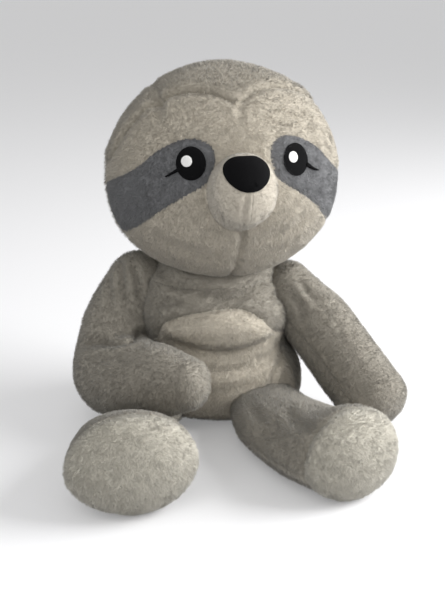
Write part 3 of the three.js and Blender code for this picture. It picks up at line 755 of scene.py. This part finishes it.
def head_shell():
    """The head's oval, a little fuller below, as an even grid of points on a sphere."""
    turns = np.linspace(0, 2 * np.pi, 2 * HEAD_RINGS, endpoint=False)
    heights, wide, deep = np.array(HEAD_PROFILE).T
    rings = []
    for angle in np.linspace(0, np.pi, HEAD_RINGS + 1)[1:-1]:
        z, ring = -math.cos(angle), math.sin(angle)
        rings.append(np.stack([
            HEAD_HALF[0] * np.interp(z, heights, wide) * ring * np.cos(turns),
            HEAD_HALF[1] * np.interp(z, heights, deep) * ring * np.sin(turns),
            np.full(len(turns), HEAD_HALF[2] * z * (CROWN_FLAT if z > 0 else 1))], axis=1))
    flat = np.vstack(rings + [[(0, 0, -HEAD_HALF[2]), (0, 0, HEAD_HALF[2] * CROWN_FLAT)]])
    faces = [face[:1] + face[:0:-1] for face in ring_faces(len(rings), len(turns))]
    return from_head(flat), faces


FOREHEAD, CHEEK_LEFT, CHEEK_RIGHT, PATCH_LEFT, PATCH_RIGHT, CROWN, SIDE_LEFT, SIDE_RIGHT = range(8)
FACE, HOOD = range(CROWN), range(CROWN, SIDE_RIGHT + 1)
head = Surface([head_shell()])
local = to_head(head.face_centres())
across = local[:, 0]
face_shares = local[:, [0, 2]] / HEAD_HALF[[0, 2]]
in_face = inside(face_shares, closed_line(HAIRLINE)) & (local[:, 1] < SIDE_SEAM)
labels = np.full(len(local), CROWN)
labels[across > CROWN_HALF_WIDTH] = SIDE_LEFT
labels[across < -CROWN_HALF_WIDTH] = SIDE_RIGHT
cheeks = np.where(across > 0, CHEEK_LEFT, CHEEK_RIGHT)
labels[in_face] = np.where(face_shares[:, 1] > BROW_SHARE, FOREHEAD, cheeks)[in_face]
for number, side in ((PATCH_LEFT, 1), (PATCH_RIGHT, -1)):
    labels[in_face & inside(face_shares, closed_line([(side * x, z) for x, z in PATCH]))] = number
head.label(labels)

vertex_label = np.zeros(len(head.co), int)
for polygon, number in zip(head.polygons, head.labels):
    vertex_label[list(polygon)] = number
hairline = between(HOOD, FACE)
x = head.from_seam(hairline) / HOOD_ROLL_WIDTH
roll = HOOD_ROLL * (x * np.exp(1 - x)) * (x < HOOD_ROLL_END)
head.push += np.where(np.isin(vertex_label, HOOD), roll, 0)
head.seam(hairline, *SEAMS["hairline"])
head.seam(between([CHEEK_LEFT], [CHEEK_RIGHT]), *SEAMS["cheeks"])
head.seam(between([CROWN], [SIDE_LEFT, SIDE_RIGHT]), *SEAMS["crown"])
head.seam(between([PATCH_LEFT, PATCH_RIGHT], [FOREHEAD, CHEEK_LEFT, CHEEK_RIGHT]), *SEAMS["patches"])
head.lumps(LUMPS["head"])
head.folds(FOLDS["head"])
head.apply()
head_tree = head.tree()


def on_head(x, z, tree):
    """The place and outward way of a face point given across and up, in head millimetres."""
    start = Vector(from_head([(x, AHEAD_OF_FACE, z)])[0])
    hit, normal, _, _ = tree.ray_cast(start, Vector(HEAD_AXES @ BACK))
    return np.array(hit), np.array(normal)


bare = [(on_head(x, z, head_tree)[0], EYE_BARE) for x, z in EYE_AT.values()]
bare += [(on_head(x, z + end, head_tree)[0], EYE_END_BARE) for x, z in EYE_AT.values() for end in EYE_ENDS]
bare.append((on_head(MUZZLE_DRIFT, -MUZZLE_DROP, head_tree)[0], MUZZLE_BARE))
dress(head, [
    ("head_forehead", FOREHEAD, "cream_pile", "face", ["forehead", "head_stuffing"]),
    ("head_cheek_left", CHEEK_LEFT, "cream_pile", "face", ["cheek_left"]),
    ("head_cheek_right", CHEEK_RIGHT, "cream_pile", "face", ["cheek_right"]),
    ("head_patch_left", PATCH_LEFT, "patch_pile", "patch", ["eye_patch_left"]),
    ("head_patch_right", PATCH_RIGHT, "patch_pile", "patch", ["eye_patch_right"]),
    ("head_crown", CROWN, "crown_pile", "crown", ["crown"]),
    ("head_side_piece_left", SIDE_LEFT, "crown_pile", "head_side", ["head_side_left"]),
    ("head_side_piece_right", SIDE_RIGHT, "crown_pile", "head_side", ["head_side_right"]),
], "head", keep_off=bare)

# Muzzle

MUZZLE_LEFT, MUZZLE_RIGHT = range(2)
shell, muzzle_faces = swept(SPINES["muzzle"], UP, *ENDS["muzzle"], around=48, steps=10, caps=10)
muzzle = Surface([(from_head(shell / MM), muzzle_faces)], MUZZLE_VOXEL, relax=4)
across = to_head(muzzle.face_centres())[:, 0]
muzzle.label(np.where(across > MUZZLE_DRIFT, MUZZLE_LEFT, MUZZLE_RIGHT))
muzzle.folds(FOLDS["muzzle"])
muzzle.lumps(LUMPS["muzzle"])
muzzle.apply()
muzzle_tree = muzzle.tree()
bare = [(on_head(NOSE_AT[0] + x, NOSE_AT[1] + z, muzzle_tree)[0], NOSE_BARE) for x, z in NOSE_SPOTS]
dress(muzzle, [
    ("muzzle_piece_left", MUZZLE_LEFT, "muzzle_velour", "muzzle", ["muzzle_left", "muzzle_stuffing"]),
    ("muzzle_piece_right", MUZZLE_RIGHT, "muzzle_velour", "muzzle", ["muzzle_right"]),
], "head", keep_off=bare)


# Nose, eyes, glints and lashes

def stitched(name, outline, centre, tree, heights, cloth, nodes, rings=10):
    """A closed pad of stitches that lies on a surface, with a rim that goes down into it."""
    height, edge = heights
    outline = closed_line(outline)
    around = len(outline)
    place, normal = on_head(*centre, tree)
    verts = [place + normal * height * MM]

    def add_ring(share, lift):
        """The outline, drawn in to a share of its size and lifted off the surface."""
        for x, z in outline:
            place, normal = on_head(centre[0] + share * x, centre[1] + share * z, tree)
            verts.append(place + normal * lift * MM)

    for r in range(1, rings + 1):
        share = math.sin(math.pi / 2 * r / rings)
        add_ring(share, edge + (height - edge) * (1 - share ** 5))
    add_ring(RIM_SHARE, -RIM_DEPTH)
    faces = [(0, 1 + i, 1 + (i + 1) % around) for i in range(around)]
    for r in range(rings):
        low, high = 1 + r * around, 1 + (r + 1) * around
        for i in range(around):
            j = (i + 1) % around
            faces.append((low + i, high + i, high + j, low + j))
    faces.append(tuple(1 + rings * around + i for i in range(around - 1, -1, -1)))
    after = np.roll(outline, -1, axis=0)
    if np.sum(outline[:, 0] * after[:, 1] - after[:, 0] * outline[:, 1]) < 0:
        faces = [tuple(reversed(f)) for f in faces]
    place_piece(new_object(name, np.array(verts), faces, cloth), "head", nodes=nodes)


nose_outline = [(x * NOSE_HALF[0], z * NOSE_HALF[1]) for x, z in NOSE]
stitched("nose_satin", nose_outline, NOSE_AT, muzzle_tree, NOSE_HEIGHTS, "black_thread", ["nose"])
for side, at in EYE_AT.items():
    stitched(f"eye_satin_{side}", oval(*EYE_HALF), at, head_tree, EYE_HEIGHTS,
             "black_thread", [f"eye_{side}"])
    glint_at = (at[0] + GLINT_FROM_EYE[0], at[1] + GLINT_FROM_EYE[1])
    stitched(f"eye_glint_satin_{side}", oval(*GLINT_HALF), glint_at, head_tree, GLINT_HEIGHTS,
             "white_thread", [f"eye_glint_{side}"], rings=4)
for side, pixels in LASH_PIXELS.items():
    line = to_head(rays(head_tree, pixels))[:, [0, 2]]
    way = unit(np.gradient(line, axis=0))
    widths = np.linspace(*LASH_HALF_WIDTHS, len(line))[:, None]
    aside = np.stack([-way[:, 1], way[:, 0]], axis=1) * widths
    middle = line.mean(axis=0)
    lash = np.vstack([line + aside, (line - aside)[::-1]]) - middle
    stitched(f"lash_{side}", lash, middle, head_tree, LASH_HEIGHTS, "black_thread", [], rings=3)

# Torso with the neck's cloth above it

SEAT, BELLY_PANEL, CHEST, BACK_LEFT, BACK_RIGHT, NECK = range(6)
torso = Surface([swept(SPINES["torso"], FRONT, *ENDS["torso"], around=56, steps=60)], relax=4)
centres = torso.face_centres() / MM
labels = np.where(centres[:, 0] > TORSO_LEAN, BACK_LEFT, BACK_RIGHT)
labels[centres[:, 1] < TORSO_SEAM] = CHEST
in_belly = (centres[:, 1] < BELLY_FRONT) & inside(centres[:, [0, 2]], closed_line(BELLY))
labels[in_belly] = BELLY_PANEL
labels[centres[:, 2] < SEAT_TOP] = SEAT
labels[centres[:, 2] > NECK_LOW] = NECK
torso.label(labels)
torso.ridge(rays(torso.tree(), BELLY_ROLL_PIXELS), *BELLY_ROLL_SIZE)
torso.folds(FOLDS["torso"])
backs = between([CHEST, SEAT], [BACK_LEFT, BACK_RIGHT]) | between([BACK_LEFT], [BACK_RIGHT])
torso.seam(backs, *SEAMS["torso"])
torso.seam(between([BELLY_PANEL], [CHEST]), *SEAMS["belly"])
torso.lumps(LUMPS["torso"])
torso.apply()
dress(torso, [
    ("seat_cloth", SEAT, "grey_pile", "seat", ["seat_panel", "pellet_bag"]),
    ("belly_cloth", BELLY_PANEL, "cream_pile", "belly", ["belly", "torso_stuffing"]),
    ("chest_cloth", CHEST, "grey_pile", "chest", ["chest"]),
    ("back_cloth_left", BACK_LEFT, "grey_pile", "back", ["back_left"]),
    ("back_cloth_right", BACK_RIGHT, "grey_pile", "back", ["back_right"]),
    ("neck_cloth", NECK, "grey_pile", "neck", ["neck_front", "neck_back", "neck_stuffing"]),
], "torso", "neck")


# Arms

def dress_arm(side, shells, relax, outer_pile):
    """An arm of its swept forms and its shoulder's ball, parted at a plane through the shoulder."""
    outer, inner = range(2)
    name = f"arm_{side}"
    arm = Surface(shells + [ball(SHOULDER_AT[side], SHOULDER_RADIUS[side])], relax=relax)
    arm.folds(FOLDS[name])
    centres = arm.face_centres() / MM - np.array(SHOULDER_AT[side])
    arm.label(np.where(centres @ ARM_SPLIT[side] > 0, outer, inner))
    arm.seam(between([outer], [inner]), *SEAMS[name])
    arm.lumps(LUMPS[name])
    arm.apply()
    dress(arm, [
        (f"arm_cloth_{side}_outer", outer, "grey_pile", outer_pile, [f"{name}_outer", f"{name}_stuffing"]),
        (f"arm_cloth_{side}_inner", inner, "grey_pile", "limb", [f"{name}_inner"]),
    ], "torso", name)


whole = swept(SPINES["arm_left"], FRONT, *ENDS["arm_left"])
upper = swept(SPINES["upper_arm_right"], FRONT, *ENDS["upper_arm_right"])
lower = swept(SPINES["lower_arm_right"], UP, *ENDS["lower_arm_right"])
dress_arm("left", [whole], relax=5, outer_pile="limb")
dress_arm("right", [upper, lower], relax=9, outer_pile="right_arm")

# Legs

SOLE, TOP, UNDER = range(3)
for side in ("left", "right"):
    name = f"leg_{side}"
    rows = SPINES[name]
    leg = Surface([swept(rows, UP, *ENDS[name])])
    last, before = np.array(rows[-1][:3]), np.array(rows[-2][:3])
    along = unit((last - before) * np.array((1, 1, 0)))
    centres = leg.face_centres() / MM
    labels = np.where(centres[:, 2] > rows[1][2], TOP, UNDER)
    labels[(centres - last) @ along > -SOLE_SEAM_IN] = SOLE
    leg.label(labels)
    leg.seam(between([SOLE], [TOP, UNDER]), *SEAMS["sole"])
    leg.seam(between([TOP], [UNDER]), *SEAMS["leg"])
    leg.folds(FOLDS[name])
    leg.lumps(LUMPS["leg"])
    leg.apply()
    dress(leg, [
        (f"foot_sole_{side}", SOLE, "sole_pile", "sole", [f"{name}_sole", f"{name}_stuffing"]),
        (f"leg_cloth_{side}_top", TOP, "grey_pile", "limb", [f"{name}_top"]),
        (f"leg_cloth_{side}_under", UNDER, "grey_pile", "under", [f"{name}_under"]),
    ], "torso", name)

# Floor, light and camera

bpy.ops.mesh.primitive_plane_add(size=FLOOR_SIZE)
floor = bpy.context.object
floor.name = "floor"
pale, shader = material("pale_floor", roughness=0.9)
shader.inputs["Base Color"].default_value = (*FLOOR_COLOUR, 1)
shader.inputs["Emission Color"].default_value = (1, 1, 1, 1)
seen = node(pale, "LightPath", {}).outputs["Is Camera Ray"]
glow = node(pale, "Math", {0: seen, 1: FLOOR_GLOW}, operation="MULTIPLY").outputs[0]
pale.node_tree.links.new(glow, shader.inputs["Emission Strength"])
floor.data.materials.append(pale)

world = bpy.data.worlds.new("studio")
bpy.context.scene.world = world
world.use_nodes = True
world.node_tree.nodes["Background"].inputs["Color"].default_value = (1, 1, 1, 1)
world.node_tree.nodes["Background"].inputs["Strength"].default_value = WORLD_LIGHT
for name, at, size, power in LAMPS:
    lamp = bpy.data.lights.new(name, "AREA")
    lamp.size = size
    lamp.energy = power
    holder = bpy.data.objects.new(name, lamp)
    holder.location = at
    holder.rotation_euler = (LAMP_AIM - Vector(at)).to_track_quat("-Z", "Y").to_euler()
    bpy.context.scene.collection.objects.link(holder)

lens = bpy.data.cameras.new("camera")
lens.sensor_width = SENSOR
lens.lens = SENSOR * FOCAL_PIXELS / PHOTO_HEIGHT
lens.clip_start = CLIP_START
camera = bpy.data.objects.new("camera", lens)
camera.location = CAMERA_AT
camera.rotation_euler = (math.pi / 2 - CAMERA_PITCH, 0, 0)
bpy.context.scene.collection.objects.link(camera)
bpy.context.scene.camera = camera
bpy.context.scene.view_settings.view_transform = "Standard"
